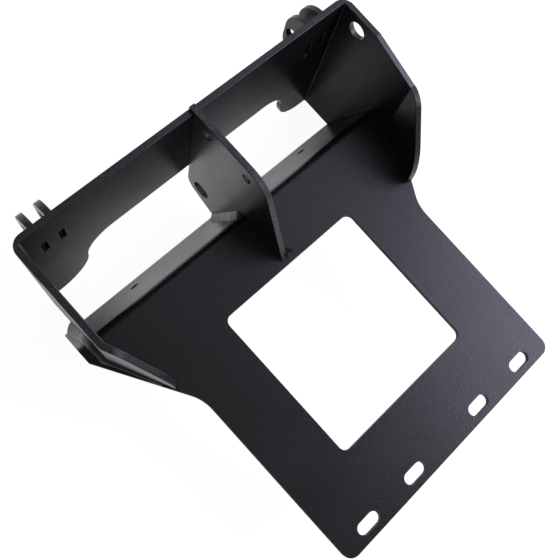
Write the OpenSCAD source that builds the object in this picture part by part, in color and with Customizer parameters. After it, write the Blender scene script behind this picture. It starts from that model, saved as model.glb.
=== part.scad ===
// Plow mounting plate for a small utility vehicle.
// A flat plate is bolted under the vehicle through four slots along its rear edge.
// Its front edge is folded down, and a folded channel is welded on there.
// The channel carries two pairs of pin lugs that the plow frame hangs on,
// and an upright rib ties the channel to the plate along the middle.
//
// Frame: origin at the middle of the row of slots, on the plate's top face.
// +X to the right, +Y forward to the plow, +Z up.

/* [Sheet] */
// Thickness of every plate, quarter inch sheet
sheet_t = 6.35; // [5:0.05:8]
// Inside radius of the folds
fold_r = 6.35; // [4:0.05:10]
// Inside radius of the channel's two upright corners, which are pressed sharper
corner_r = 2; // [1:0.25:4]

/* [Main plate] */
// Width of the plate at its rear edge
rear_w = 300; // [260:1:320]
// Width of the ledge that the wings leave outside each side panel
wing_ledge = 13.65; // [10:0.05:20]
// Distance from the row of slots back to the rear edge
slot_edge = 13; // [10:0.5:20]
// Radius of the two rear corners
rear_corner_r = 11; // [6:0.5:20]
// Where the flat plate ends and the fold starts
fold_y = 291.5; // [288:0.1:300]
// How far the wings' parallel edges run before the fold
wing_run = 7.3; // [4:0.1:12]
// Angle of the wings' taper to the long edges
wing_taper = 30; // [26:1:36]
// Radius of the hollow corner where the taper meets the long edge
wing_fillet_r = 45; // [20:1:60]
// How far the front flange is folded down
flange_bend = 68.5; // [60:0.5:80]
// Length of the flange's flat part below the fold
flange_len = 92.5; // [80:0.5:100]

/* [Window] */
// Side of the square window
window_w = 171.5; // [150:0.5:180]
// Distance from the row of slots to the window
window_y = 61; // [50:0.5:70]
// Radius of the window's corners
window_r = 8; // [4:0.5:15]

/* [Slots] */
// Width of each slot, for a half inch bolt
slot_w = 13; // [12:0.1:14]
// Length of each slot from end to end
slot_len = 26; // [22:0.5:30]
// Distance between the two inner slots
inner_pitch = 95.6; // [90:0.1:100]
// Distance between the two outer slots
outer_pitch = 226; // [220:0.5:232]

/* [Flange holes] */
// Diameter of the two holes in the flange
flange_hole_d = 10; // [8:0.5:12]
// Distance between them
flange_hole_pitch = 242; // [230:1:250]
// Distance from the fold down to their centres
flange_hole_down = 58.5; // [40:0.5:75]

/* [Front channel] */
// Clear width between the two side panels
channel_w = 370; // [360:1:380]
// Distance from the row of slots to the channel's front wall
channel_y = 377.6; // [370:0.1:390]
// Height of the channel's top edge above the plate
channel_top = 97; // [85:1:110]
// How far the legs and side panels hang below the plate's top face
skirt_drop = 94; // [85:1:100]
// How far the middle of the front wall hangs down
middle_drop = 16; // [10:1:25]
// Radius where the middle's lower edge turns down into each leg
leg_r = 34; // [25:1:40]
// Length of the level part of each side panel's top edge, from the front wall
side_level = 44.6; // [35:0.1:60]
// How far behind the wing's corner each side panel is bent inwards
side_bend_back = 8.2; // [6:0.1:14]
// Height of the side panel at that bend
side_bend_z = 81; // [74:1:88]
// How much less the panel's end turns in than the wing's edge
side_turn_less = 5; // [3:0.5:7]
// Length of the level part of the bent end's top edge
side_end_level = 3.7; // [1:0.1:10]
// Radius where that edge turns down into a 45 degree slope
side_end_r = 20; // [10:1:25]
// Radius of the long curve from the slope down to the plate
side_foot_r = 68.5; // [50:0.5:80]
// Diameter of the hole in each side panel
side_hole_d = 19; // [16:0.5:22]
// Distance of that hole behind the front wall
side_hole_back = 23.6; // [18:0.1:30]
// Distance of that hole below the channel's top edge
side_hole_down = 17; // [14:0.5:30]

/* [Centre rib] */
// Distance from the window to the rear end of the rib's foot
rib_foot_gap = 6; // [3:0.5:12]
// How far the rib's top edge stands above the channel
rib_rise = 4; // [2:0.5:8]
// Lean of the rib's rear edge from upright
rib_lean = 25.5; // [20:0.5:30]
// Radius of the rib's upper corner
rib_corner_r = 32; // [20:1:40]
// Depth of the notch in the front wall that the rib sits in
rib_notch = 30; // [20:1:60]
// Diameter of the big hole in the rib's nose
nose_hole_d = 21; // [18:0.5:26]
// Metal round that hole
nose_wall = 10.6; // [8:0.1:12]
// Height of that hole
nose_hole_z = -44; // [-50:0.5:-40]
// Slope of the rib's lower edge back to the flange
rib_under = 24; // [15:1:35]
// Diameter of the two small holes under the rib's top edge
rib_hole_d = 10; // [8:0.5:12]
// Distance of their centres below that edge
rib_hole_down = 15.5; // [12:0.5:20]
// Distance of the front one from the front wall
rib_hole_front = 19; // [15:0.5:25]
// Distance between the two
rib_hole_pitch = 52; // [45:1:60]

/* [Pin lugs] */
// Distance of each pair's middle from the side panel's inner face
lug_pair_in = 26; // [22:0.5:40]
// Distance between the two lugs of a pair
lug_pitch = 18.2; // [15:0.1:22]
// How far a lug stands out from the front wall
lug_out = 26; // [25:0.5:34]
// Height of a lug
lug_h = 64.5; // [56:0.5:80]
// Distance of the lugs' middle below the channel's top edge
lug_down = 46.5; // [42:0.5:60]
// Radius of a lug's outer corners
lug_r = 24; // [15:0.5:24]
// Diameter of the pin hole
lug_hole_d = 16; // [14:0.5:18]
// Distance from the front wall to the pin hole's centre
lug_hole_out = 14.5; // [13:0.5:16]
// Height of the slot in the front wall that the lug's tab sits in
lug_tab_h = 21; // [16:1:30]
// How far the tab's end stays back from the wall's inner face
lug_tab_gap = 3; // [1:0.5:5]

/* [Welds] */
// Leg of the weld beads on the plate and flange
weld_leg = 7; // [4:0.5:9]
// Leg of the thin bead along each bent end
weld_thin = 3; // [2:0.5:4]
// Leg of the beads at the lugs
weld_lug = 4; // [3:0.5:5]
// Length of the short bead at the rib's rear foot
weld_foot_len = 14; // [10:1:20]
// How far the bead beside the rib stops short of the rib's lower edge
weld_rib_short = 3; // [1:0.5:10]
// How far the thin bead stops short of each bent end's tip
weld_end_short = 12.5; // [6:0.5:20]
// How far the beads stop short of each end of a lug
weld_lug_short = 3; // [1:0.5:8]

/* [Hidden] */

$fn = 64;
// Cutting bodies reach this far past the faces they cut
past = 5;
// Fills reach this far into the metal that they are joined to
overlap = 1;
// Straight steps along each curved stretch of an outline
arc_steps = 16;
// The same along the slight bend of each side panel
bend_steps = 6;

coat = [0.17, 0.17, 0.18];
coat_side = [0.20, 0.20, 0.21];
weld_grey = [0.32, 0.32, 0.33];

through = sheet_t + 2 * past;
fold_out = fold_r + sheet_t;

// Main plate
wing_w = channel_w + 2 * (sheet_t + wing_ledge);
wing_y = fold_y - wing_run;
wing_slope = tan(wing_taper);
taper_y = wing_y - (wing_w - rear_w) / 2 / wing_slope;
fillet_reach = wing_fillet_r * tan(wing_taper / 2);
flange_dir = [cos(flange_bend), -sin(flange_bend)];
flange_out = [sin(flange_bend), cos(flange_bend)];
flange_top = [fold_y, -fold_out] + fold_out * flange_out;
flange_tip = flange_top + flange_len * flange_dir;

// Front channel
in_x = channel_w / 2;
out_x = in_x + sheet_t;
flat_x = in_x - fold_r;
front_y = channel_y + sheet_t;
leg_out_r = skirt_drop - middle_drop - leg_r;
leg_x = flat_x - leg_out_r;
side_flat_y = channel_y - fold_r;
side_bend = wing_taper - side_turn_less;
side_tan_y = wing_y - side_bend_back + fold_r * tan(side_bend / 2);
// The point of the flange's front face where the side panels end
skirt_point = flange_top - flange_dir * (skirt_drop + flange_top[1]) / flange_dir[1];
// The bent end's outline lies in its own plane, and its tip ends here
side_end_s = side_end_level + side_bend_z + (side_end_r - side_foot_r) * (sqrt(2) - 1);

// Centre rib
rib_foot_y = window_y + window_w + rib_foot_gap;
rib_top = channel_top + rib_rise;
nose_r = nose_hole_d / 2 + nose_wall;
nose_y = channel_y - nose_r;
rib_back_y = rib_foot_y + rib_top * tan(rib_lean);
rib_corner_reach = rib_corner_r * tan((90 - rib_lean) / 2);
// The rib's lower edge runs back from the nose until it meets the flange
under_dir = [-cos(rib_under), -sin(rib_under)];
under_from = [nose_y, nose_hole_z] + nose_r * [sin(rib_under), -cos(rib_under)];
under_run = (flange_top - under_from) * flange_out / (under_dir * flange_out);
rib_seat = under_from + under_run * under_dir;

// Lugs
lug_pair_x = in_x - lug_pair_in;
lug_z = channel_top - lug_down;
lug_tab_in = sheet_t - lug_tab_gap;
tab_low = lug_z - lug_tab_h / 2;

// Welds
weld_rib_len = (rib_seat - flange_top) * flange_dir - weld_rib_short;
weld_end_len = side_end_s - weld_end_short;
weld_lug_len = lug_h - 2 * weld_lug_short;

// Points on an arc, from angle a to angle b
function arc(c, r, a, b, n = arc_steps) =
    [for (i = [0 : n]) c + r * [cos(a + (b - a) * i / n), sin(a + (b - a) * i / n)]];

// The outside of the flange's fold, from the flange up to the flat plate. What
// sits on the fold has the same points in its own outline.
fold_seat = arc([fold_y, -fold_out], fold_out, 90 - flange_bend, 90);

// Turns a drawing in (Y, Z) into a sheet of thickness t from x to x + t
module upright(x, t) {
    translate([x, 0, 0])
        rotate([90, 0, 90])
            linear_extrude(height = t)
                children();
}

// A round bar along X, with its middle at x
module bar_x(d, x, y, z, len) {
    translate([x - len / 2, y, z])
        rotate([0, 90, 0])
            cylinder(d = d, h = len);
}

// A frame on the flange's front face where the fold ends: X along the width,
// Y down the face and Z out of it
module on_flange() {
    translate([0, fold_y, -fold_out])
        rotate([-flange_bend, 0, 0])
            translate([0, 0, fold_out])
                children();
}

module slot_hole(x) {
    run = slot_len - slot_w;
    for (s = [-1, 1])
        translate([x + s * run / 2, 0, -sheet_t - past])
            cylinder(d = slot_w, h = through);
    translate([x - run / 2, -slot_w / 2, -sheet_t - past])
        cube([run, slot_w, through]);
}

// Square window with round corners
module window_hole() {
    run = window_w - 2 * window_r;
    translate([0, window_y + window_w / 2, -sheet_t - past]) {
        for (sx = [-1, 1], sy = [-1, 1])
            translate([sx * run / 2, sy * run / 2, 0])
                cylinder(r = window_r, h = through);
        translate([-window_w / 2, -run / 2, 0])
            cube([window_w, run, through]);
        translate([-run / 2, -window_w / 2, 0])
            cube([run, window_w, through]);
    }
}

// Metal that rounds the hollow corner where the right taper starts
module wing_fillet() {
    inside_x = rear_w / 2 - overlap;
    c = [rear_w / 2 + wing_fillet_r, taper_y - fillet_reach];
    difference() {
        linear_extrude(height = sheet_t)
            polygon([
                [inside_x, c[1]],
                c,
                [rear_w / 2, taper_y] + fillet_reach * [sin(wing_taper), cos(wing_taper)],
                [inside_x, taper_y]
            ]);
        translate([c[0], c[1], -past])
            cylinder(r = wing_fillet_r, h = through);
    }
}

module main_plate_flat() {
    rear_y = -slot_edge;
    run = rear_w / 2 - rear_corner_r;
    translate([0, 0, -sheet_t]) {
        linear_extrude(height = sheet_t)
            polygon([
                [-rear_w / 2, rear_y + rear_corner_r],
                [-run, rear_y + rear_corner_r],
                [-run, rear_y],
                [run, rear_y],
                [run, rear_y + rear_corner_r],
                [rear_w / 2, rear_y + rear_corner_r],
                [rear_w / 2, taper_y],
                [wing_w / 2, wing_y],
                [-wing_w / 2, wing_y],
                [-rear_w / 2, taper_y]
            ]);
        for (s = [-1, 1])
            translate([s * run, rear_y + rear_corner_r, 0])
                cylinder(r = rear_corner_r, h = sheet_t);
        wing_fillet();
        mirror([1, 0, 0])
            wing_fillet();
    }
}

// From the wings' corners over the fold and down to the flange's tip
module folded_front() {
    upright(-wing_w / 2, wing_w)
        polygon(concat(
            [[wing_y, -sheet_t], [wing_y, 0]],
            arc([fold_y, -fold_out], fold_out, 90, 90 - flange_bend),
            [flange_tip, flange_tip - sheet_t * flange_out],
            arc([fold_y, -fold_out], fold_r, 90 - flange_bend, 90)
        ));
}

module main_plate() {
    color(coat)
    difference() {
        union() {
            main_plate_flat();
            folded_front();
        }
        window_hole();
        for (s = [-1, 1]) {
            slot_hole(s * inner_pitch / 2);
            slot_hole(s * outer_pitch / 2);
            on_flange()
                translate([s * flange_hole_pitch / 2, flange_hole_down, -sheet_t - past])
                    cylinder(d = flange_hole_d, h = through);
        }
    }
}

// Flat part of the front wall, drawn from the front
module front_wall() {
    difference() {
        translate([0, front_y, 0])
            rotate([90, 0, 0])
                linear_extrude(height = sheet_t)
                    polygon(concat(
                        [[-flat_x, channel_top], [-flat_x, -skirt_drop]],
                        arc([-flat_x, leg_out_r - skirt_drop], leg_out_r, -90, 0),
                        arc([leg_r - leg_x, -middle_drop - leg_r], leg_r, 180, 90),
                        arc([leg_x - leg_r, -middle_drop - leg_r], leg_r, 90, 0),
                        arc([flat_x, leg_out_r - skirt_drop], leg_out_r, 180, 270),
                        [[flat_x, channel_top]]
                    ));
        translate([-sheet_t / 2, channel_y - past, channel_top - rib_notch])
            cube([sheet_t, through, rib_notch + past]);
        for (s = [-1, 1], p = [-1, 1])
            translate([
                s * lug_pair_x + p * lug_pitch / 2 - sheet_t / 2,
                channel_y - past,
                tab_low
            ])
                cube([sheet_t, through, lug_tab_h]);
    }
}

// The clear space inside the right upright corner
module corner_space() {
    height = skirt_drop + channel_top + 2 * past;
    translate([flat_x - past, side_flat_y - past, -skirt_drop - past]) {
        cube([fold_r + past, fold_r + past - corner_r, height]);
        cube([fold_r + past - corner_r, fold_r + past, height]);
    }
    translate([in_x - corner_r, channel_y - corner_r, -skirt_drop - past])
        cylinder(r = corner_r, h = height);
}

// Everything of the channel at the right of the front wall
module right_side() {
    // The upright corner from the front wall into the side panel
    difference() {
        translate([flat_x, side_flat_y, -skirt_drop])
            rotate_extrude(angle = 90)
                square([fold_out, skirt_drop + channel_top]);
        corner_space();
    }
    // The side panel, shaped to sit on the plate, its fold and the flange
    difference() {
        upright(in_x, sheet_t)
            polygon(concat(
                [
                    [side_flat_y, -skirt_drop],
                    [side_flat_y, channel_top],
                    [channel_y - side_level, channel_top],
                    [side_tan_y, side_bend_z],
                    [side_tan_y, 0]
                ],
                [for (i = [arc_steps : -1 : 0]) fold_seat[i]],
                [skirt_point]
            ));
        bar_x(side_hole_d, in_x + sheet_t / 2, channel_y - side_hole_back,
            channel_top - side_hole_down, through);
    }
    // The end that is bent inwards along the wing's taper
    difference() {
        linear_extrude(height = side_bend_z)
            side_end_plan();
        translate([flat_x, side_tan_y, 0])
            rotate([0, 0, -side_bend])
                translate([fold_r - past, 0, 0])
                    rotate([90, 0, 90])
                        mirror([1, 0, 0])
                            linear_extrude(height = through)
                                side_end_waste();
    }
}

// The bend and the bent end seen from above, a little longer than the end's tip
module side_end_plan() {
    c = [flat_x, side_tan_y];
    back = (side_end_s + overlap) * [-sin(side_bend), -cos(side_bend)];
    out = [cos(side_bend), -sin(side_bend)];
    polygon(concat(
        arc(c, fold_out, 0, -side_bend, bend_steps),
        [c + fold_out * out + back, c + fold_r * out + back],
        arc(c, fold_r, -side_bend, 0, bend_steps)
    ));
}

// What is cut off the bent end, in its own plane: it leaves a level top, a
// rounded corner, a 45 degree slope and a long curve down to the plate
module side_end_waste() {
    polygon(concat(
        [[side_end_level, side_bend_z + past]],
        arc([side_end_level, side_bend_z - side_end_r], side_end_r, 90, 45),
        arc([side_end_s - side_foot_r, 0], side_foot_r, 45, 0),
        [
            [side_end_s, -past],
            [side_end_s + past, -past],
            [side_end_s + past, side_bend_z + past]
        ]
    ));
}

module front_channel() {
    color(coat_side) {
        front_wall();
        right_side();
        mirror([1, 0, 0])
            right_side();
    }
}

module centre_rib() {
    color(coat)
    difference() {
        upright(-sheet_t / 2, sheet_t)
            polygon(concat(
                [[rib_foot_y, 0]],
                arc([rib_back_y + rib_corner_reach, rib_top - rib_corner_r],
                    rib_corner_r, 180 - rib_lean, 90),
                [
                    [front_y, rib_top],
                    [front_y, channel_top - rib_notch],
                    [channel_y, channel_top - rib_notch]
                ],
                arc([nose_y, nose_hole_z], nose_r, 0, rib_under - 90),
                [rib_seat],
                fold_seat
            ));
        bar_x(nose_hole_d, 0, nose_y, nose_hole_z, through);
        for (k = [0, 1])
            bar_x(rib_hole_d, 0, channel_y - rib_hole_front - k * rib_hole_pitch,
                rib_top - rib_hole_down, through);
    }
}

// One pin lug, an ear with a tab that keys into the front wall
module lug(x) {
    low = lug_z - lug_h / 2;
    high = lug_z + lug_h / 2;
    tip_y = front_y + lug_out;
    color(coat)
    difference() {
        upright(x - sheet_t / 2, sheet_t)
            polygon(concat(
                [[front_y, low]],
                arc([tip_y - lug_r, low + lug_r], lug_r, -90, 0),
                arc([tip_y - lug_r, high - lug_r], lug_r, 0, 90),
                [
                    [front_y, high],
                    [front_y, tab_low + lug_tab_h],
                    [front_y - lug_tab_in, tab_low + lug_tab_h],
                    [front_y - lug_tab_in, tab_low],
                    [front_y, tab_low]
                ]
            ));
        bar_x(lug_hole_d, x, front_y + lug_hole_out, lug_z, through);
    }
}

// A bead of weld along +Y: a right triangle whose square corner is on the axis.
// It lies at +X, or at -X where the leg is negative.
module bead(leg, len) {
    translate([0, len, 0])
        rotate([90, 0, 0])
            linear_extrude(height = len)
                polygon([[0, 0], [leg, 0], [0, abs(leg)]]);
}

// Down the flange at the left of the rib, from just under the fold
module weld_rib_flange() {
    color(weld_grey)
        on_flange()
            translate([-sheet_t / 2, 0, 0])
                bead(-weld_leg, weld_rib_len);
}

// At the right of the rib's rear foot
module weld_rib_foot() {
    color(weld_grey)
        translate([sheet_t / 2, rib_foot_y, 0])
            bead(weld_leg, weld_foot_len);
}

// Outside the right side panel: down the flange, along the wing
// and, thinner, along the bent end
module side_beads() {
    on_flange()
        translate([out_x, 0, 0])
            bead(weld_leg, flange_len);
    translate([out_x, side_tan_y, 0])
        bead(weld_leg, fold_y - side_tan_y);
    translate([flat_x, side_tan_y, 0])
        rotate([0, 0, -side_bend])
            translate([fold_out, -weld_end_len, 0])
                bead(weld_thin, weld_end_len);
}

module weld_right_side() {
    color(weld_grey)
        side_beads();
}

module weld_left_side() {
    color(weld_grey)
        mirror([1, 0, 0])
            side_beads();
}

// Upright beads on the outer faces of one pair of lugs
module lug_beads(x) {
    off = lug_pitch / 2 + sheet_t / 2;
    for (s = [-1, 1])
        translate([x + s * off, front_y, lug_z - weld_lug_len / 2])
            linear_extrude(height = weld_lug_len)
                polygon([[0, 0], [s * weld_lug, 0], [0, weld_lug]]);
}

module weld_lugs_left() {
    color(weld_grey)
        lug_beads(-lug_pair_x);
}

module weld_lugs_right() {
    color(weld_grey)
        lug_beads(lug_pair_x);
}

main_plate();
front_channel();
centre_rib();
lug(-lug_pair_x - lug_pitch / 2);  // lug_left_outer
lug(-lug_pair_x + lug_pitch / 2);  // lug_left_inner
lug(lug_pair_x - lug_pitch / 2);  // lug_right_inner
lug(lug_pair_x + lug_pitch / 2);  // lug_right_outer
weld_rib_flange();
weld_rib_foot();
weld_left_side();
weld_right_side();
weld_lugs_left();
weld_lugs_right();
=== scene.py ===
# %% [markdown]
# # A plow mounting plate in black powder coat
#
# The real object is a weldment of folded quarter inch steel sheet. A flat plate
# with a square window bolts to the vehicle, its front edge is folded down, and a
# folded channel is welded on there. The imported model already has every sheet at
# its real size, so this script adds what the model can't say: the rounded cut
# edges, the uneven weld beads, the satin coat with its fine grain, and the light.

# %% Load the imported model
import math
import random

import bpy
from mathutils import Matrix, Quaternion, Vector


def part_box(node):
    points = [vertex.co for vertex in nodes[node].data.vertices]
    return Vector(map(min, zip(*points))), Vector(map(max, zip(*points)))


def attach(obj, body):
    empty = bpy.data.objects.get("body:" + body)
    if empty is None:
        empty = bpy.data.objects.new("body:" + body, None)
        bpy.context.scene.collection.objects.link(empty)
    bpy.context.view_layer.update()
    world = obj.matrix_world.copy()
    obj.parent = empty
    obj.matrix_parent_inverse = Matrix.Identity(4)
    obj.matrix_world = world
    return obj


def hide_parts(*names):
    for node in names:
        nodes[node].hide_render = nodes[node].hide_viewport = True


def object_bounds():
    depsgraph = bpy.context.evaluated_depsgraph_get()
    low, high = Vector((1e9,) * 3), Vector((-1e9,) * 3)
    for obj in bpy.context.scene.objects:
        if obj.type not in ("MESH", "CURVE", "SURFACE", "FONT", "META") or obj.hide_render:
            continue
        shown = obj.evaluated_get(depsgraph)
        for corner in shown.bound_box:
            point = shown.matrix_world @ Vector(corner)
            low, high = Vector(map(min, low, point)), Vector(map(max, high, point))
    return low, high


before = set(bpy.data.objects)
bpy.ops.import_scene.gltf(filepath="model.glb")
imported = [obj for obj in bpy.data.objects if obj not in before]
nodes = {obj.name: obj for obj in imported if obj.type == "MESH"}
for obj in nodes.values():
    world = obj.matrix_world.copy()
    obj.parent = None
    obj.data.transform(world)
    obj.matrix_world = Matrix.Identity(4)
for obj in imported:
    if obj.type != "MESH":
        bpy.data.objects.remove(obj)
cad_low, cad_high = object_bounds()
MM = 0.001
print("the model's box in metres:", [round(v, 4) for v in cad_high - cad_low])

# %% [markdown]
# ## Camera
#
# The photograph looks down on the plate from close by, with the plow's side at
# the upper left. The camera's place, aim and roll come from fitting the plate's
# straight edges, so the perspective matches as well as the direction. The small
# shift is there because the object isn't quite in the middle of the picture.

# %% Place the camera
CAMERA_PLACE = Vector((-0.2019, 0.1853, 0.6427))
CAMERA_AIM = Vector((-0.0047, 0.2101, 0.0))
CAMERA_ROLL = math.radians(40.863)
CAMERA_LENS_MM = 43.56
CAMERA_SENSOR_MM = 36
CAMERA_SHIFT = (-0.03667, 0.00631)
NEAREST_SEEN = 0.01
FARTHEST_SEEN = 30

camera_data = bpy.data.cameras.new("camera")
camera_data.sensor_width = CAMERA_SENSOR_MM
camera_data.lens = CAMERA_LENS_MM
camera_data.shift_x, camera_data.shift_y = CAMERA_SHIFT
camera_data.clip_start = NEAREST_SEEN
camera_data.clip_end = FARTHEST_SEEN
camera = bpy.data.objects.new("camera", camera_data)
bpy.context.scene.collection.objects.link(camera)
camera.location = CAMERA_PLACE
aimed = (CAMERA_AIM - CAMERA_PLACE).to_track_quat("-Z", "Y")
camera.rotation_mode = "QUATERNION"
camera.rotation_quaternion = aimed @ Quaternion((0, 0, 1), CAMERA_ROLL)
bpy.context.scene.camera = camera
print("the camera is", round((CAMERA_AIM - CAMERA_PLACE).length, 3), "m from its aim")

# %% [markdown]
# ## Helpers for shader networks
#
# Each finish is a small network of shader nodes. A network could be built by hand
# in the editor, but a script can be read and changed line by line. A few helpers
# keep it readable: one adds a node and fills its sockets, with a link where the
# value is another node's output, and the others wrap the kinds of node that every
# finish here uses.

# %% Shader helpers
def new_material(name):
    material = bpy.data.materials.new(name)
    material.use_nodes = True
    material.node_tree.nodes.clear()
    return material, material.node_tree


def add(tree, kind, sockets=None, **settings):
    node = tree.nodes.new(kind)
    for key, value in settings.items():
        setattr(node, key, value)
    for key, value in (sockets or {}).items():
        if isinstance(value, bpy.types.NodeSocket):
            tree.links.new(value, node.inputs[key])
        else:
            node.inputs[key].default_value = value
    return node


def noise(tree, place, scale, detail=2.0, roughness=0.5):
    sockets = {"Vector": place, "Scale": scale, "Detail": detail, "Roughness": roughness}
    return add(tree, "ShaderNodeTexNoise", sockets).outputs["Fac"]


def in_range(tree, value, low, high, to_low=0.0, to_high=1.0):
    sockets = {0: value, 1: low, 2: high, 3: to_low, 4: to_high}
    return add(tree, "ShaderNodeMapRange", sockets, clamp=True).outputs[0]


def calculate(tree, operation, a, b):
    return add(tree, "ShaderNodeMath", {0: a, 1: b}, operation=operation).outputs[0]


def mix_colour(tree, share, a, b):
    return add(tree, "ShaderNodeMix", {0: share, 6: a, 7: b}, data_type="RGBA").outputs[2]


print("helpers: new_material, add, noise, in_range, calculate, mix_colour")

# %% [markdown]
# ## The satin black coat
#
# Powder coat melts into a film with a faint orange peel, and at this distance it
# also shows a fine grain of lighter specks. The film could be painted from an
# image, but noise in the object's own coordinates needs no unwrapping and has its
# real scale in millimetres. The grain goes into the colour, the roughness and the
# bump, so that it also breaks up the reflections.
#
# Where the sheet was cut, the coat lies on a rougher surface. Its grain is painted
# lighter there, a painted sheen, and single points, larger than the specks on a
# face, are painted glints for the light they catch.

# %% Colour of a face
PER_MM = 1000.0
COAT_DARK = (0.0046, 0.0045, 0.0052, 1)
COAT_LIGHT = (0.0150, 0.0148, 0.0170, 1)
GRAIN_DARK_AT = 0.35
GRAIN_LIGHT_AT = 0.65
SPECK_AND_GLINT = (0.16, 0.16, 0.18, 1)
SPECK_SCALE = 1.1 * PER_MM
SPECKS_FROM = 0.70
SPECKS_FULL_AT = 0.78
SPECK_SHARE = 0.5


def face_colour(tree, place, grain):
    """Nearly black grain with a few light specks."""
    specks = noise(tree, place, SPECK_SCALE, 1)
    light = in_range(tree, grain, GRAIN_DARK_AT, GRAIN_LIGHT_AT)
    base = mix_colour(tree, light, COAT_DARK, COAT_LIGHT)
    share = in_range(tree, specks, SPECKS_FROM, SPECKS_FULL_AT, 0, SPECK_SHARE)
    return mix_colour(tree, share, base, SPECK_AND_GLINT)


print("a face is", COAT_DARK[0], "to", COAT_LIGHT[0], "light, with specks of", SPECK_AND_GLINT[0])

# %% Colour of a cut edge, with painted sheen and glints
# The cut edge's grain is painted lighter than a face's, a painted sheen.
EDGE_DARK = (0.006, 0.006, 0.0065, 1)
EDGE_LIGHT = (0.022, 0.022, 0.025, 1)
EDGE_DARK_AT = 0.45
EDGE_LIGHT_AT = 0.68
# Bright points mixed into a cut edge's colour are painted glints.
GLINT_SCALE = 0.7 * PER_MM
GLINTS_FROM = 0.62
GLINTS_FULL_AT = 0.70


def cut_colour(tree, place, grain, painted_glint):
    """Grain painted lighter than on a face as sheen, with painted glints as bright points."""
    points = noise(tree, place, GLINT_SCALE, 1)
    light = in_range(tree, grain, EDGE_DARK_AT, EDGE_LIGHT_AT)
    base = mix_colour(tree, light, EDGE_DARK, EDGE_LIGHT)
    share = in_range(tree, points, GLINTS_FROM, GLINTS_FULL_AT, 0, painted_glint)
    return mix_colour(tree, share, base, SPECK_AND_GLINT)


print("a cut edge is", EDGE_DARK[0], "to", EDGE_LIGHT[0], "light")

# %% [markdown]
# The film's gloss is never quite even. Its roughness follows the fine grain, and
# it also drifts slowly over the face, as a sprayed film does. The height for the
# bump is made of slow waves, the orange peel, with the grain on top. Each of these
# could have a noise of its own, but on a real film they belong together, so the
# same grain goes into colour, gloss and height.

# %% Gloss and height of the film
CLOUD_SCALE = 0.018 * PER_MM
PEEL_SCALE = 0.35 * PER_MM
CUT_GRAIN_SCALE = 1.2 * PER_MM
NOISE_LOW = 0.3
NOISE_HIGH = 0.7
GRAIN_SHINIER = 0.05
GRAIN_DULLER = 0.06
CLOUD_CHANGE = 0.025
PEEL_SHARE = 0.5
CUT_SHARE = 2.5


def uneven_gloss(tree, place, grain, roughness):
    """Roughness that changes with the grain, and slowly in clouds over a face."""
    cloud = noise(tree, place, CLOUD_SCALE, 3)
    shiny = roughness - GRAIN_SHINIER
    dull = roughness + GRAIN_DULLER
    fine = in_range(tree, grain, NOISE_LOW, NOISE_HIGH, shiny, dull)
    broad = in_range(tree, cloud, NOISE_LOW, NOISE_HIGH, -CLOUD_CHANGE, CLOUD_CHANGE)
    return calculate(tree, "ADD", fine, broad)


def film_height(tree, place, grain, cut):
    """Slow waves with grain on them, and a finer, stronger grain on a cut edge."""
    wave = noise(tree, place, PEEL_SCALE, 2)
    height = calculate(tree, "ADD", calculate(tree, "MULTIPLY", wave, PEEL_SHARE), grain)
    if cut:
        cut_grain = noise(tree, place, CUT_GRAIN_SCALE, 1)
        cut_height = calculate(tree, "MULTIPLY", cut_grain, CUT_SHARE)
        height = calculate(tree, "ADD", height, cut_height)
    return height


print("a cloud in the gloss is about", round(PER_MM / CLOUD_SCALE), "mm wide")

# %% One powder coat
GRAIN_SCALE = 0.8 * PER_MM
GRAIN_HARSHNESS = 0.65
BUMP_DEPTH = 0.8 * MM


def powder_coat(name, cut=False, roughness=0.30, peel=0.14, mirror=0.5, painted_glint=0.6):
    """A coat for the faces or, with cut, for the cut edges with painted sheen and glints."""
    material, tree = new_material(name)
    place = add(tree, "ShaderNodeTexCoord").outputs["Object"]
    grain = noise(tree, place, GRAIN_SCALE, 3, GRAIN_HARSHNESS)
    rough = uneven_gloss(tree, place, grain, roughness)
    height = film_height(tree, place, grain, cut)
    colour = cut_colour(tree, place, grain, painted_glint) if cut else face_colour(tree, place, grain)
    bump = add(tree, "ShaderNodeBump", {"Strength": peel, "Distance": BUMP_DEPTH, "Height": height})
    shader = add(tree, "ShaderNodeBsdfPrincipled", {
        "Base Color": colour, "Roughness": rough, "Specular IOR Level": mirror,
        "Normal": bump.outputs["Normal"]})
    add(tree, "ShaderNodeOutputMaterial", {"Surface": shader.outputs["BSDF"]})
    return material


print("a grain is about", PER_MM / GRAIN_SCALE, "mm wide")

# %% [markdown]
# ## The coats of this object
#
# One coat covers the whole weldment, but it doesn't look the same everywhere. The
# plate and the rib are shiny, while the channel, whose inside is hard to reach
# with a spray gun, and the lugs look duller. The cut edges get a coat of their
# own, with painted sheen and painted glints in its colour: grainy on the rib and
# the lugs, smoother and with few painted glints on the channel's tops, and dull on
# the plate's upright edges and in its slots. One material with a mask could do it
# all, but its mirror level would then be a linked socket, which gets lost when the
# model is exported.

# %% Mix the coats
coat_plate = powder_coat("coat_plate", peel=0.22)
coat_channel = powder_coat("coat_channel", mirror=0.15)
coat_lug = powder_coat("coat_lug", mirror=0.35)
# The cut coats carry painted sheen and painted glints in their colour.
coat_cut = powder_coat("coat_cut", cut=True, peel=0.40, mirror=0.55)
coat_cut_top = powder_coat("coat_cut_top", cut=True, peel=0.20, mirror=0.55, painted_glint=0.10)
coat_cut_wall = powder_coat("coat_cut_wall", cut=True, roughness=0.40, peel=0.30, mirror=0.06)
coat_weld = powder_coat("coat_weld", roughness=0.34, peel=0.16)
print("coats:", [m.name for m in bpy.data.materials])

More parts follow.
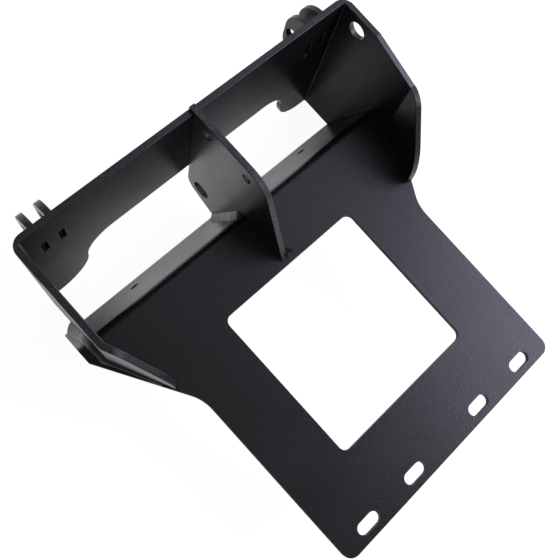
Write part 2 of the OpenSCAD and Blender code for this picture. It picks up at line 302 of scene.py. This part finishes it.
# %% [markdown]
# ## Cut edges and faces
#
# Such a sheet is cut by a laser, square to its face. So the normal of a polygon
# tells whether it belongs to a face or to a cut edge. The polygons could also be
# picked by hand, but a rule on the normal still works when a size changes.
#
# Each rule looks at one direction only. The flange's tip, which looks down, and
# the channel's upright ends are cut edges that count as faces here.

# %% Tell a cut edge from a face
NEARLY_UPRIGHT = 0.1
MOSTLY_SIDEWAYS = 0.45


def upright_wall(normal):
    """The plate's faces lie level or slope, so what stands upright was cut."""
    return abs(normal.z) < NEARLY_UPRIGHT


def level_top(normal):
    """The channel's faces stand upright, so what leans up or down was cut."""
    return abs(normal.z) > NEARLY_UPRIGHT


def across(normal):
    """The rib's and the lugs' faces look along X, so what looks elsewhere was cut."""
    return abs(normal.x) < MOSTLY_SIDEWAYS


plate_walls = [p for p in nodes["main_plate"].data.polygons if upright_wall(p.normal)]
print("polygons on the plate's cut edges:", len(plate_walls))

# %% [markdown]
# ## Dress the sheets
#
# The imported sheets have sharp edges, because a model for sizes needs no more. On
# the real sheet the film rounds each edge a little, and that round catches the
# light. It could be faked in the shader, but a real bevel also shows in the
# outline and in the exported model.
#
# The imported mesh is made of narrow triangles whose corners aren't all joined, and
# a bevel straight on it would tear or be held back. So the corners are joined and
# the flat faces merged first. At the end, weighted normals let the big faces
# decide how a corner is shaded, so that they stay flat beside the narrow rounds.

# %% Round the edges and put the coats on
EDGE_ROUND = 0.6 * MM
EDGE_SEGMENTS = 2
SHARPER_THAN = math.radians(40)
FLATTER_THAN = math.radians(0.5)
JOIN_WITHIN = 0.002 * MM
BIG_FACES_DECIDE = 100


def coat_sheet(piece, face_coat, edge_coat, is_cut):
    piece.data.materials.clear()
    piece.data.materials.append(face_coat)
    piece.data.materials.append(edge_coat)
    for polygon in piece.data.polygons:
        polygon.material_index = 1 if is_cut(polygon.normal) else 0


def dress_sheet(name, face_coat, edge_coat, is_cut):
    piece = nodes[name]
    coat_sheet(piece, face_coat, edge_coat, is_cut)
    weld = piece.modifiers.new("join_faces", "WELD")
    weld.merge_threshold = JOIN_WITHIN
    flat = piece.modifiers.new("merge_flat_faces", "DECIMATE")
    flat.decimate_type = "DISSOLVE"
    flat.angle_limit = FLATTER_THAN
    bevel = piece.modifiers.new("round_edges", "BEVEL")
    bevel.width = EDGE_ROUND
    bevel.segments = EDGE_SEGMENTS
    bevel.limit_method = "ANGLE"
    bevel.angle_limit = SHARPER_THAN
    weighted = piece.modifiers.new("keep_faces_flat", "WEIGHTED_NORMAL")
    weighted.weight = BIG_FACES_DECIDE
    weighted.keep_sharp = True


LUGS = ("lug_left_outer", "lug_left_inner", "lug_right_inner", "lug_right_outer")
sheets = [
    ("main_plate", coat_plate, coat_cut_wall, upright_wall),
    ("front_channel", coat_channel, coat_cut_top, level_top),
    ("centre_rib", coat_plate, coat_cut, across)]
sheets += [(lug, coat_lug, coat_cut, across) for lug in LUGS]
for sheet in sheets:
    dress_sheet(*sheet)
print("sheets dressed:", [sheet[0] for sheet in sheets])

# %% [markdown]
# ## Weld beads
#
# A fillet weld fills the corner between two plates. The welder's torch leaves a
# row of crescent ripples, the legs wander a little, and both ends are rounded.
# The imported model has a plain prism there. A curve with a bevel profile could
# follow the joint, but its section can't follow two plates whose angle changes,
# so the bead is lofted here in mesh code: at each station along the joint's root
# there are two directions, one along each plate, and the section is drawn
# between them.

# %% Stations along a joint
STATION_STEP = 0.45 * MM
# How much of a leg's swing round a corner counts as length
SWING_SHARE = 0.5


def resample(joint):
    """Even stations along a joint given as (root, way a, way b, leg a, leg b)."""
    stations = []
    length = 0
    for a, b in zip(joint, joint[1:]):
        swing = SWING_SHARE * (b[1] - a[1]).length * max(a[3], b[3])
        part = (b[0] - a[0]).length + swing
        steps = max(1, round(part / STATION_STEP))
        for i in range(steps):
            share = i / steps
            stations.append((
                a[0].lerp(b[0], share),
                a[1].lerp(b[1], share).normalized(),
                a[2].lerp(b[2], share).normalized(),
                a[3] * (1 - share) + b[3] * share,
                a[4] * (1 - share) + b[4] * share))
        length += part
    stations.append(joint[-1])
    return stations, length


def wander(rng, count, smooth):
    """A smooth random walk between -1 and 1 for each station."""
    knots = [rng.uniform(-1, 1) for _ in range(count // smooth + 3)]
    values = []
    for i in range(count):
        k, share = divmod(i / smooth, 1)
        share = share * share * (3 - 2 * share)
        values.append(knots[int(k)] * (1 - share) + knots[int(k) + 1] * share)
    return values


print("a station every", STATION_STEP / MM, "mm")

# %% Ripples and rounded ends
SMALLEST_END = 0.05
CRESCENT_DEPTH = 1.4 * MM
CRESCENT_JITTER = 0.7 * MM
RIPPLE_SHARPNESS = 0.6


def end_swell(along, length, round_end):
    """1 along the bead, and rounded down to SMALLEST_END at both ends."""
    end = min(1.0, min(along, length - along) / round_end)
    return math.sqrt(max(0.0, 1 - (1 - end) ** 2)) * (1 - SMALLEST_END) + SMALLEST_END


def ripple_wave(along, crescent, jitter, pitch):
    """0 in the groove between two crescents, and 1 on the crest of one."""
    phase = (along + CRESCENT_DEPTH * crescent + CRESCENT_JITTER * jitter) / pitch
    return abs(math.sin(math.pi * phase)) ** RIPPLE_SHARPNESS


print("a ripple's middle lies", CRESCENT_DEPTH / MM, "mm off its ends")

# %% Loft a bead along a joint
SECTION_STEPS = 12
SINK = 0.25 * MM
RIPPLE_MIDDLE = 0.6
HEIGHT_WANDER = 0.3
# Stations from one random value to the next
WIDTH_SMOOTH = 12
HEIGHT_SMOOTH = 8
JITTER_SMOOTH = 6


def close_rings(faces, start, count, ring):
    """Quads between neighbouring rings of points, and a lid on both ends."""
    for i in range(count - 1):
        for k in range(ring):
            a = start + i * ring + k
            b = start + i * ring + (k + 1) % ring
            faces.append((a, b, b + ring, a + ring))
    faces.append(tuple(start + k for k in reversed(range(ring))))
    faces.append(tuple(start + (count - 1) * ring + k for k in range(ring)))


def bead_mesh(joint, rng, vertices, faces, pitch, ripple, bulge, round_end, ragged):
    """A ring of points at each station, sunk a little into both plates."""
    stations, length = resample(joint)
    count = len(stations)
    wide = wander(rng, count, WIDTH_SMOOTH)
    high = wander(rng, count, HEIGHT_SMOOTH)
    jitter = wander(rng, count, JITTER_SMOOTH)
    start = len(vertices)
    for i, (root, way_a, way_b, leg_a, leg_b) in enumerate(stations):
        along = i / (count - 1) * length
        swell = end_swell(along, length, round_end)
        leg_a = leg_a * swell * (1 + ragged * wide[i])
        leg_b = leg_b * swell * (1 + ragged * high[i])
        outward = (way_a + way_b).normalized()
        vertices.append(root - outward * (2 * SINK))
        for k in range(SECTION_STEPS + 1):
            t = k / SECTION_STEPS
            crescent = math.sin(math.pi * t)
            wave = ripple_wave(along, crescent, jitter[i], pitch)
            rise = bulge + ripple * (wave - RIPPLE_MIDDLE) + HEIGHT_WANDER * ragged * high[i]
            lift = (leg_a + leg_b) / 2 * crescent * rise
            point = root + way_a * (leg_a * (1 - t)) + way_b * (leg_b * t)
            vertices.append(point + outward * (lift - SINK * (1 - crescent)))
    close_rings(faces, start, count, SECTION_STEPS + 2)


print("points round a bead's section:", SECTION_STEPS + 2)


# %% A weld piece in place of a packed prism
def weld_piece(name, node, joints, seed, pitch=3.4, ripple=0.05,
               bulge=0.10, round_end=3.0, ragged=0.10):
    """Beads along some joints as one piece; pitch and round_end are in millimetres."""
    rng = random.Random(seed)
    vertices = []
    faces = []
    for joint in joints:
        bead_mesh(joint, rng, vertices, faces, pitch * MM, ripple, bulge, round_end * MM, ragged)
    mesh = bpy.data.meshes.new(name)
    mesh.from_pydata([tuple(v) for v in vertices], [], faces)
    mesh.validate()
    for polygon in mesh.polygons:
        polygon.use_smooth = True
    mesh.materials.append(coat_weld)
    piece = bpy.data.objects.new(name, mesh)
    bpy.context.scene.collection.objects.link(piece)
    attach(piece, "root")
    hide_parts(node)
    print(name, len(mesh.polygons), "faces")


print("prisms to replace:", sorted(name for name in nodes if name.startswith("weld_")))

# %% [markdown]
# ## The joints
#
# The beads follow the same corners as the plain prisms that they replace, so the
# roots come from those nodes' boxes. The flange's fold has the same radius and
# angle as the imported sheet, and the side bead rolls over it without a break, as a
# welder would run it. The bead beside the rib is the cleanest one, so its ripples
# are kept very low.

# %% Directions of the folded sheets
FLANGE_BEND = math.radians(68.5)
FOLD_OUTSIDE = 12.7 * MM
SIDE_BEND = math.radians(25)
down_flange = Vector((0, math.cos(FLANGE_BEND), -math.sin(FLANGE_BEND)))
off_flange = Vector((0, math.sin(FLANGE_BEND), math.cos(FLANGE_BEND)))
left = Vector((-1, 0, 0))
right = Vector((1, 0, 0))
up = Vector((0, 0, 1))
forward = Vector((0, 1, 0))

rib_weld_low, rib_weld_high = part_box("weld_rib_flange")
rib_leg = rib_weld_high.x - rib_weld_low.x
rib_face_x = rib_weld_high.x
fold_end = Vector((rib_face_x, rib_weld_low.y, rib_weld_high.z - rib_leg * off_flange.z))
fold_centre = fold_end - off_flange * FOLD_OUTSIDE
print("the fold's centre is at", [round(v / MM, 2) for v in fold_centre], "mm")


# %% Bead beside the rib, down the flange
def over_fold(x, side, legs, from_angle, to_angle, steps=6):
    """Roots round the outside of the flange's fold, angles from upright."""
    centre = Vector((x, fold_centre.y, fold_centre.z))
    joint = []
    for i in range(steps + 1):
        angle = from_angle + (to_angle - from_angle) * i / steps
        out = Vector((0, math.sin(angle), math.cos(angle)))
        joint.append((centre + out * FOLD_OUTSIDE, side, out, *legs))
    return joint


# In radians from upright, and as a share of the flange's bend
START_ANGLE = 0.5
FOLD_SHARE = 0.8
START_LEGS = (rib_leg * 0.9, rib_leg * 1.1)
RUN_LEGS = (rib_leg * 1.2, rib_leg)
rib_run = (fold_end.z - rib_weld_low.z) / math.sin(FLANGE_BEND)
rib_joint = over_fold(rib_face_x, left, START_LEGS, START_ANGLE, FLANGE_BEND * FOLD_SHARE)
rib_joint.append((fold_end + down_flange * rib_leg, left, off_flange, *RUN_LEGS))
rib_joint.append((fold_end + down_flange * rib_run, left, off_flange, *RUN_LEGS))
weld_piece("bead_rib_flange", "weld_rib_flange", [rib_joint], seed=3,
           pitch=4.2, ripple=0.012, bulge=0.05, round_end=2.0, ragged=0.03)
print("bead beside the rib:", round(rib_run / MM, 1), "mm")

# %% [markdown]
# The bead at the rib's foot is only a dab of weld. It is broad at the rib's rear
# end and narrows forwards, so it looks like a small triangle from above.

# %% Bead at the rib's foot
foot_low, foot_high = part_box("weld_rib_foot")
foot_leg = foot_high.z - foot_low.z
BROAD_LEGS = (foot_leg * 1.7, foot_leg * 1.2)
NARROW_LEGS = (foot_leg * 0.4, foot_leg * 0.7)
foot_rear = Vector((foot_low.x, foot_low.y, foot_low.z))
foot_front = Vector((foot_low.x, foot_high.y, foot_low.z))
foot_joint = [
    (foot_rear, right, up, *BROAD_LEGS),
    (foot_front, right, up, *NARROW_LEGS)]
weld_piece("bead_rib_foot", "weld_rib_foot", [foot_joint], seed=5,
           bulge=0.04, round_end=0.8, ragged=0.05)

# %% [markdown]
# The beads outside the side panels are the long ones. Along the wing there is
# room for a thin leg only. From the panel's bend on the bead grows, and down the
# flange's end it is the broadest of all. The right and the left one are the same
# joint mirrored, each with ripples of its own. The joint is built in two parts,
# because the first lies level on the wing and the second runs down the flange.

# %% The side bead's part on the wing
panel_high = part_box("front_channel")[1]
flange_tip_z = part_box("main_plate")[0].z
THIN_LEG = 3.0 * MM
THIN_LENGTH = 52.1 * MM
BEND_LEG = THIN_LEG * 1.5
SIDE_LEG = 7.0 * MM
BEND_CENTRE_IN = 12.7 * MM
BEND_START_Y = 277.41 * MM
BEND_STEPS = 4
# How far out to the wing's tip, and the leg there in thin legs
WING_LEGS = ((1.0, 0.8), (0.5, 1.1), (0.1, 1.3))


def wing_part(s, centre):
    """Along the bent end, from its tip, and round the panel's bend."""
    bent_out = Vector((s * math.cos(SIDE_BEND), -math.sin(SIDE_BEND), 0))
    back = Vector((-s * math.sin(SIDE_BEND), -math.cos(SIDE_BEND), 0))
    bend_end = centre + bent_out * BEND_CENTRE_IN
    joint = []
    for share, size in WING_LEGS:
        leg = size * THIN_LEG
        joint.append((bend_end + back * THIN_LENGTH * share, bent_out, up, leg, leg))
    for i in range(BEND_STEPS + 1):
        angle = SIDE_BEND * (1 - i / BEND_STEPS)
        out = Vector((s * math.cos(angle), -math.sin(angle), 0))
        leg = BEND_LEG + (SIDE_LEG - BEND_LEG) * i / BEND_STEPS
        joint.append((centre + out * BEND_CENTRE_IN, out, up, leg, leg))
    return joint


print("the thin leg is", THIN_LEG / MM, "mm and the broad one", SIDE_LEG / MM, "mm")

# %% Beads outside the side panels
# How far down the flange, and the legs there in side legs
FLANGE_LEGS = ((0.4, 1.4, 1.0), (1.0, 1.5, 1.1))


def side_joint(s):
    """The wing's part, then over the fold and down the flange; s is 1 or -1."""
    out_x = s * panel_high.x
    side = Vector((s, 0, 0))
    joint = wing_part(s, Vector((out_x - s * BEND_CENTRE_IN, BEND_START_Y, 0)))
    joint += over_fold(out_x, side, (SIDE_LEG, SIDE_LEG), 0, FLANGE_BEND)
    top = joint[-1][0]
    run = (top.z - flange_tip_z) / math.sin(FLANGE_BEND)
    for share, out_size, flange_size in FLANGE_LEGS:
        legs = (SIDE_LEG * out_size, SIDE_LEG * flange_size)
        joint.append((top + down_flange * run * share, side, off_flange, *legs))
    return joint


SIDE_BEAD = {"ripple": 0.015, "round_end": 1.5, "ragged": 0.05}
weld_piece("bead_right_side", "weld_right_side", [side_joint(1)], seed=7, **SIDE_BEAD)
weld_piece("bead_left_side", "weld_left_side", [side_joint(-1)], seed=11, **SIDE_BEAD)

# %% [markdown]
# Each lug sits in two slots of the front wall and is welded at its root. Two lugs
# make a pair, and a torch doesn't fit into the gap between them. So the bead goes
# up the face that looks away from the other lug, and over the top. Its ripples are
# sharper and closer together than those of the long beads.

# %% Beads round the lugs' roots
LUG_LEG = 4.0 * MM
LUG_START_UP = 3 * MM


def lug_joint(lug, side):
    """Up one face of a lug and over its top, where it meets the front wall."""
    low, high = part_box(lug)
    wall_y = panel_high.y
    face_x = high.x if side > 0 else low.x
    far_x = low.x if side > 0 else high.x
    out = Vector((side, 0, 0))
    corner = Vector((face_x, wall_y, high.z))
    return [
        (Vector((face_x, wall_y, low.z + LUG_START_UP)), out, forward, LUG_LEG, LUG_LEG),
        (corner, out, forward, LUG_LEG, LUG_LEG),
        (corner, up, forward, LUG_LEG, LUG_LEG),
        (Vector((far_x, wall_y, high.z)), up, forward, LUG_LEG, LUG_LEG)]


for word, side, seed in (("left", -1, 20), ("right", 1, 21)):
    joints = [lug_joint(f"lug_{word}_outer", side), lug_joint(f"lug_{word}_inner", -side)]
    weld_piece(f"bead_lugs_{word}", f"weld_lugs_{word}", joints, seed=seed, pitch=2.6, ripple=0.08)

# %% [markdown]
# ## Floor
#
# The photograph has a pure white ground. The floor could be lit until it is
# white, but that light would also wash out the black coat. So for the camera the
# floor glows nearly white by itself, and a small share of plain diffuse white
# brings it up to white and keeps the object's soft shadow. For the light that
# falls on the object it is an ordinary pale floor.
#
# The coat mirrors the same floor. Real ground is dark close under the metal,
# where little light gets in, and that is why the flange looks bright in the open
# bays and black near the walls. So in reflections the glow is dimmed by ambient
# occlusion.

# %% White floor
FLOOR_Z = cad_low.z - 0.5 * MM
FLOOR_HALF = 8.0
SEEN_GLOW = 0.94
DARK_WITHIN = 85 * MM
OPENNESS_SAMPLES = 8
MIRRORED_TINT = (0.97, 0.965, 1.0, 1)
WHITE = (1, 1, 1, 1)
SHADOW_WHITE = (0.20, 0.20, 0.20, 1)
PLAIN_WHITE = (0.80, 0.80, 0.80, 1)


def floor_coat():
    material, tree = new_material("white_floor")
    path = add(tree, "ShaderNodeLightPath").outputs
    camera_ray = path["Is Camera Ray"]
    seen = calculate(tree, "MAXIMUM", camera_ray, path["Is Glossy Ray"])
    seen = calculate(tree, "MAXIMUM", seen, path["Is Transmission Ray"])
    openness = add(
        tree, "ShaderNodeAmbientOcclusion", {"Distance": DARK_WITHIN}, samples=OPENNESS_SAMPLES)
    glow = in_range(tree, camera_ray, 0, 1, openness.outputs["AO"], SEEN_GLOW)
    tint = mix_colour(tree, camera_ray, MIRRORED_TINT, WHITE)
    white = add(tree, "ShaderNodeEmission", {"Color": tint, "Strength": glow})
    shadow = add(tree, "ShaderNodeBsdfDiffuse", {"Color": SHADOW_WHITE})
    ground = add(tree, "ShaderNodeAddShader", {0: shadow.outputs[0], 1: white.outputs[0]})
    plain = add(tree, "ShaderNodeBsdfDiffuse", {"Color": PLAIN_WHITE})
    surface = add(tree, "ShaderNodeMixShader", {0: seen, 1: plain.outputs[0], 2: ground.outputs[0]})
    add(tree, "ShaderNodeOutputMaterial", {"Surface": surface.outputs[0]})
    return material


corners = [(-1, -1, 0), (1, -1, 0), (1, 1, 0), (-1, 1, 0)]
floor_mesh = bpy.data.meshes.new("floor")
floor_mesh.from_pydata([Vector(corner) * FLOOR_HALF for corner in corners], [], [(0, 1, 2, 3)])
floor_mesh.materials.append(floor_coat())
floor = bpy.data.objects.new("floor", floor_mesh)
bpy.context.scene.collection.objects.link(floor)
floor.location.z = FLOOR_Z
print("floor at", round(FLOOR_Z / MM, 1), "mm")

# %% [markdown]
# ## Light
#
# What a black coat shows is mostly a mirror image of the room around it. Here that
# is a dim, even room, slightly warm and slightly brighter low down. The room could
# be built from walls, but a world colour that depends on height is enough. For the
# camera alone the world is white, as the ground is.

# %% A dim even room
LOW_LEVEL = 0.25
HIGH_LEVEL = 0.21
HIGH_FROM = 0.8
ROOM_TINT = (1.0, 0.95, 0.90, 1)

world = bpy.data.worlds.new("studio")
bpy.context.scene.world = world
world.use_nodes = True
tree = world.node_tree
tree.nodes.clear()
direction = add(tree, "ShaderNodeTexCoord").outputs["Generated"]
height = add(tree, "ShaderNodeSeparateXYZ", {0: direction}).outputs["Z"]
level = in_range(tree, height, 0.0, HIGH_FROM, LOW_LEVEL, HIGH_LEVEL)
to_camera = add(tree, "ShaderNodeLightPath").outputs["Is Camera Ray"]
level = in_range(tree, to_camera, 0, 1, level, 1.0)
shade = mix_colour(tree, to_camera, ROOM_TINT, WHITE)
sky = add(tree, "ShaderNodeBackground", {"Color": shade, "Strength": level})
add(tree, "ShaderNodeOutputWorld", {"Surface": sky.outputs[0]})
print("the room's light is", LOW_LEVEL, "low down and", HIGH_LEVEL, "overhead")

# %% [markdown]
# The plate is bright on its right and nearly black on its left, so the main light
# is one broad soft lamp at the right rear. A weak one at the right front keeps the
# front from going black. Sun or spot lamps would be simpler, but a satin coat
# mirrors them as small hard spots. A large area lamp close by gives the wide soft
# sheen of the photograph.

# %% Two soft lamps
LAMP_DISTANCE = 1.6


def lamp(name, toward, size, power, colour):
    """A round soft lamp in a direction from the object, aimed at its middle."""
    data = bpy.data.lights.new(name, "AREA")
    data.shape = "DISK"
    data.size = size
    data.energy = power
    data.color = colour
    lamp_object = bpy.data.objects.new(name, data)
    bpy.context.scene.collection.objects.link(lamp_object)
    middle = (cad_low + cad_high) / 2
    lamp_object.location = middle + Vector(toward).normalized() * LAMP_DISTANCE
    lamp_object.rotation_mode = "QUATERNION"
    lamp_object.rotation_quaternion = (middle - lamp_object.location).to_track_quat("-Z", "Y")
    print(name, "at", [round(v, 2) for v in lamp_object.location], "m")


lamp("lamp_right", toward=(0.68, -0.40, 0.63), size=1.4, power=24, colour=(0.77, 0.79, 1.0))
lamp("lamp_front", toward=(0.52, 0.42, 0.75), size=1.5, power=4.5, colour=(0.76, 0.80, 1.0))
bpy.context.scene.view_settings.view_transform = "Standard"
